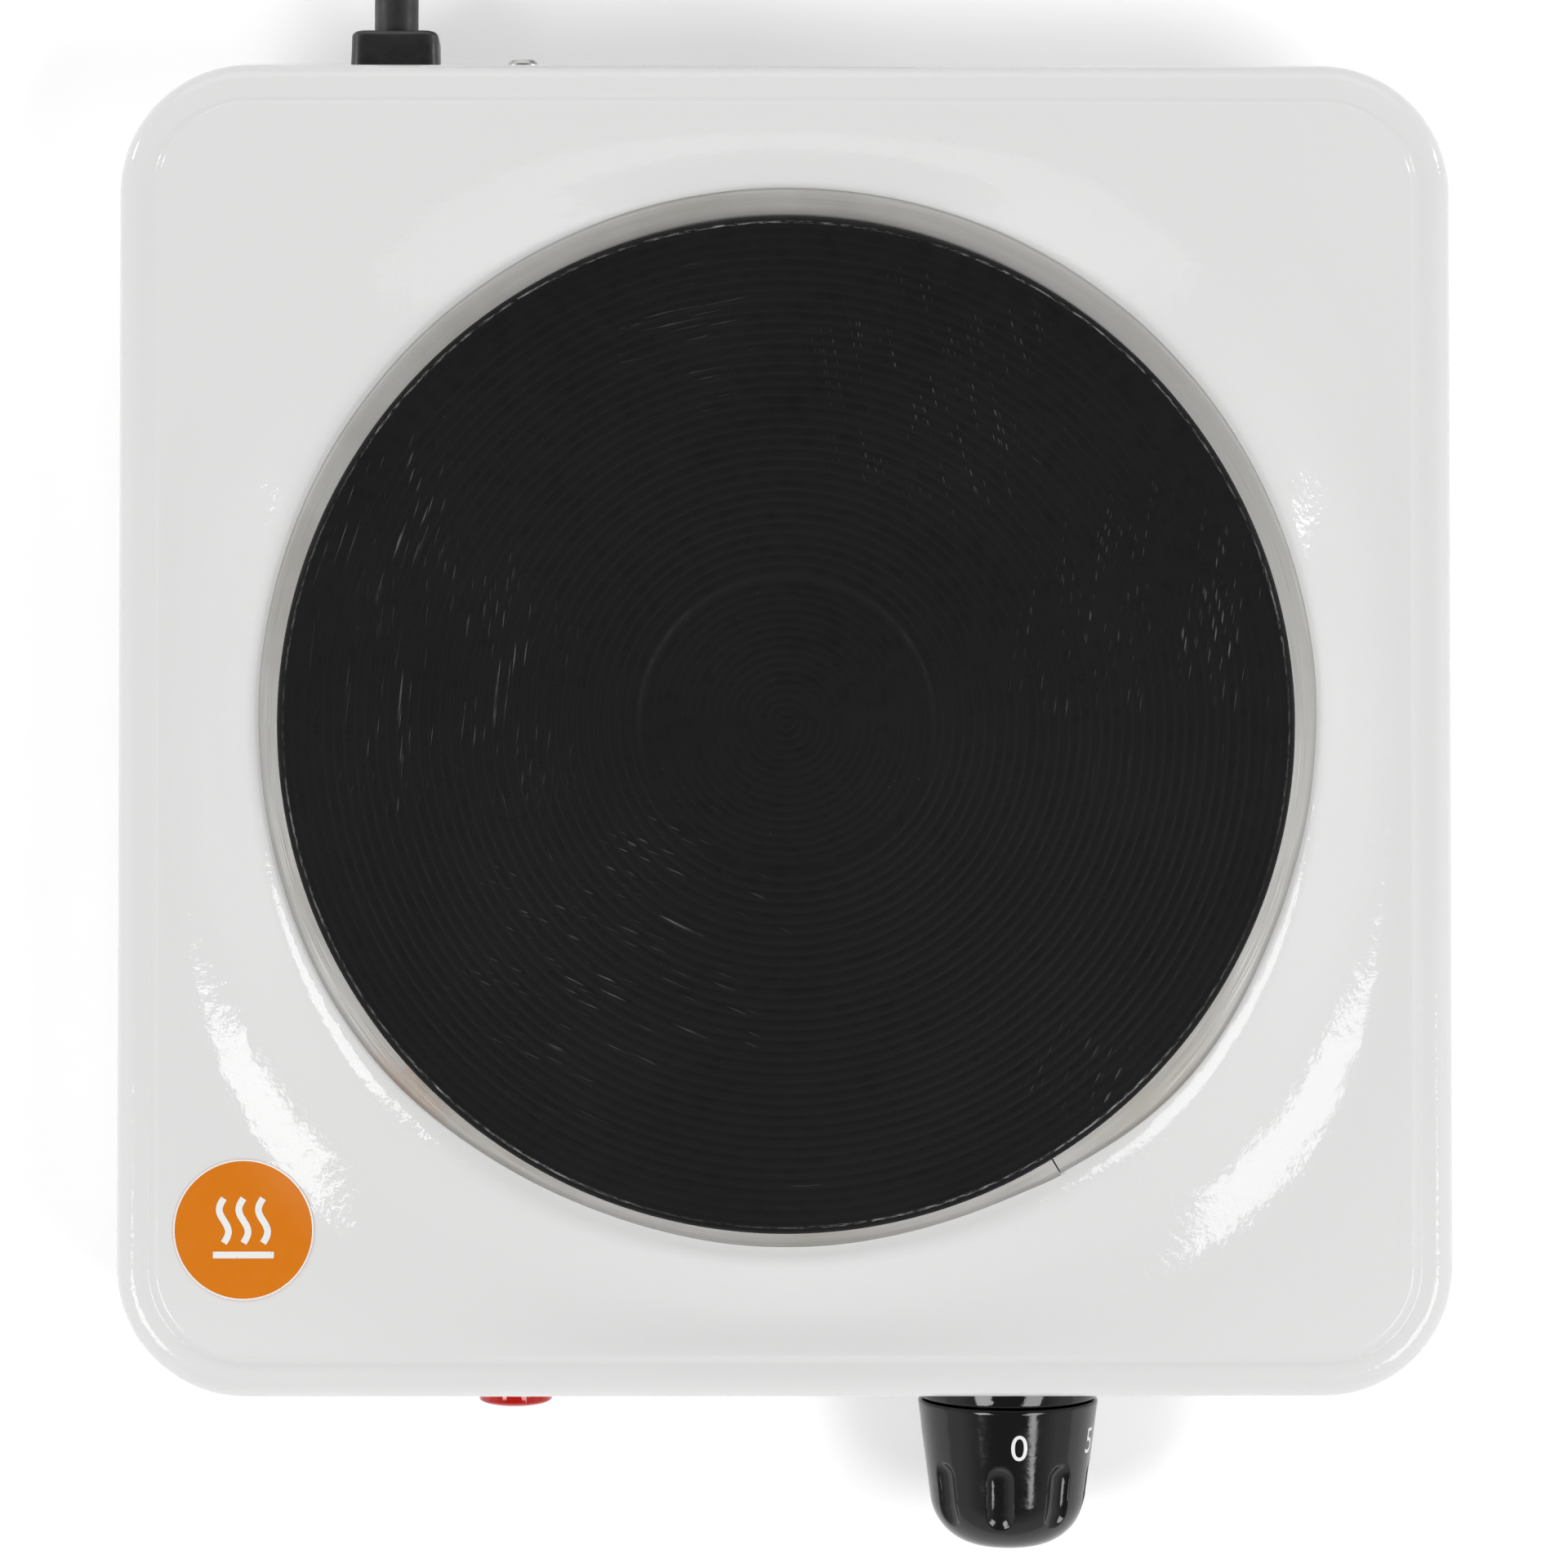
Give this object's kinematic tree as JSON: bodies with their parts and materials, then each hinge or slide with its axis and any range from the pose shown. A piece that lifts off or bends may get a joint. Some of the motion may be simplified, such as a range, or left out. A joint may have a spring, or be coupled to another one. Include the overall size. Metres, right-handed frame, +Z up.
{
  "type": "hot plate burner",
  "caption": "Free-standing electric hot plate: round cast-iron plate on a square white enamelled body, front knob and lamp, rear cord.",
  "frame": {"origin": "on the table under the object, in the middle of its footprint from the knob's nose to the strain relief", "axes": "+Z up, +X right as seen from the knob side, the knob faces -Y and the cord leaves at +Y"},
  "size_m": [0.247, 0.4367, 0.07],
  "materials": {
    "white_enamel": "glossy white vitreous enamel on sheet steel",
    "zinc_steel": "bright zinc-plated steel",
    "black_rubber": "matt black rubber",
    "cast_iron": "turned cast iron, blackened, with worn edges and scratches",
    "stainless": "spun stainless steel, satin",
    "coil_alloy": "oxidised heating alloy",
    "magnesia": "fired magnesia filling",
    "porcelain": "unglazed porcelain",
    "black_gloss_plastic": "glossy black phenolic",
    "brass_metal": "plain brass",
    "red_lens": "clear red polycarbonate",
    "bulb_glass": "clear glass",
    "wire_brown": "brown insulation",
    "wire_blue": "blue insulation",
    "wire_green": "green and yellow insulation",
    "wire_sleeve": "woven glass sleeve",
    "orange_label": "orange film with a pale edge and sign",
    "black_plastic": "satin black nylon",
    "black_pvc": "soft black PVC",
    "tie_strap": "woven hook-and-loop strap",
    "nickel_pin": "nickel-plated brass"
  },
  "bodies": {
    "base": {"housing": "white_enamel", "bottom_plate": "zinc_steel", "bottom_screws": "zinc_steel", "foot_front_left": "black_rubber", "foot_front_right": "black_rubber", "foot_back_left": "black_rubber", "foot_back_right": "black_rubber", "foot_screws": "zinc_steel", "foot_nuts": "zinc_steel", "heating_plate": "cast_iron", "trim_ring": "stainless", "heating_coil": "coil_alloy", "insulation_mass": "magnesia", "plate_back_cover": "zinc_steel", "lead_bushings": "porcelain", "centre_stud": "zinc_steel", "cover_nut": "zinc_steel", "clamp_bracket": "zinc_steel", "stud_washer": "zinc_steel", "stud_nut": "zinc_steel", "knob_bezel": "black_gloss_plastic", "thermostat_bracket": "zinc_steel", "thermostat_screws": "zinc_steel", "thermostat_body": "porcelain", "thermostat_bushing": "brass_metal", "blade_terminal": "brass_metal", "fixed_contact": "brass_metal", "lamp_lens": "red_lens", "lamp_bulb": "bulb_glass", "lamp_clip": "zinc_steel", "earth_screw": "zinc_steel", "earth_lug": "brass_metal", "earth_nut": "zinc_steel", "terminal_block": "porcelain", "terminal_sleeves": "brass_metal", "terminal_screws": "zinc_steel", "wire_live": "wire_brown", "wire_neutral": "wire_blue", "wire_earth": "wire_green", "wire_feed": "wire_brown", "wire_heater_live": "wire_sleeve", "wire_heater_neutral": "wire_sleeve", "wire_lamp_live": "wire_sleeve", "wire_lamp_neutral": "wire_sleeve", "caution_disc": "orange_label", "strain_relief": "black_plastic", "strain_relief_lock": "black_plastic", "power_cord": "black_pvc", "cord_coil": "black_pvc", "cord_tail": "black_pvc", "cord_tie": "tie_strap", "plug_body": "black_pvc", "plug_pins": "nickel_pin", "plug_earth_clips": "nickel_pin"},
    "knob_assembly": {"knob": "black_gloss_plastic", "knob_clip": "zinc_steel", "thermostat_shaft": "brass_metal"},
    "adjuster": {"adjuster_pin": "porcelain"},
    "blade": {"bimetal_blade": "brass_metal"}
  },
  "joints": [
    {"name": "knob_turn", "type": "hinge", "parent": "base", "child": "knob_assembly", "pos_m": [0.042, -0.11187, 0.029], "axis": [0, 0.9972, 0.075], "range_deg": [0, 290]},
    {"name": "adjuster_slide", "type": "slide", "parent": "base", "child": "adjuster", "axis": [0, 0.9972, 0.075], "range_m": [0, 0.0008]},
    {"name": "blade_bend", "type": "hinge", "parent": "base", "child": "blade", "pos_m": [0.042, -0.08996, 0.02162], "axis": [-1, 0, 0], "range_deg": [0, 5.1]}
  ],
  "couplings": [
    {"joint": "adjuster_slide", "follows": "knob_turn", "m_per_rad": 0.00015806},
    {"joint": "blade_bend", "follows": "knob_turn", "ratio": 0.017586}
  ]
}
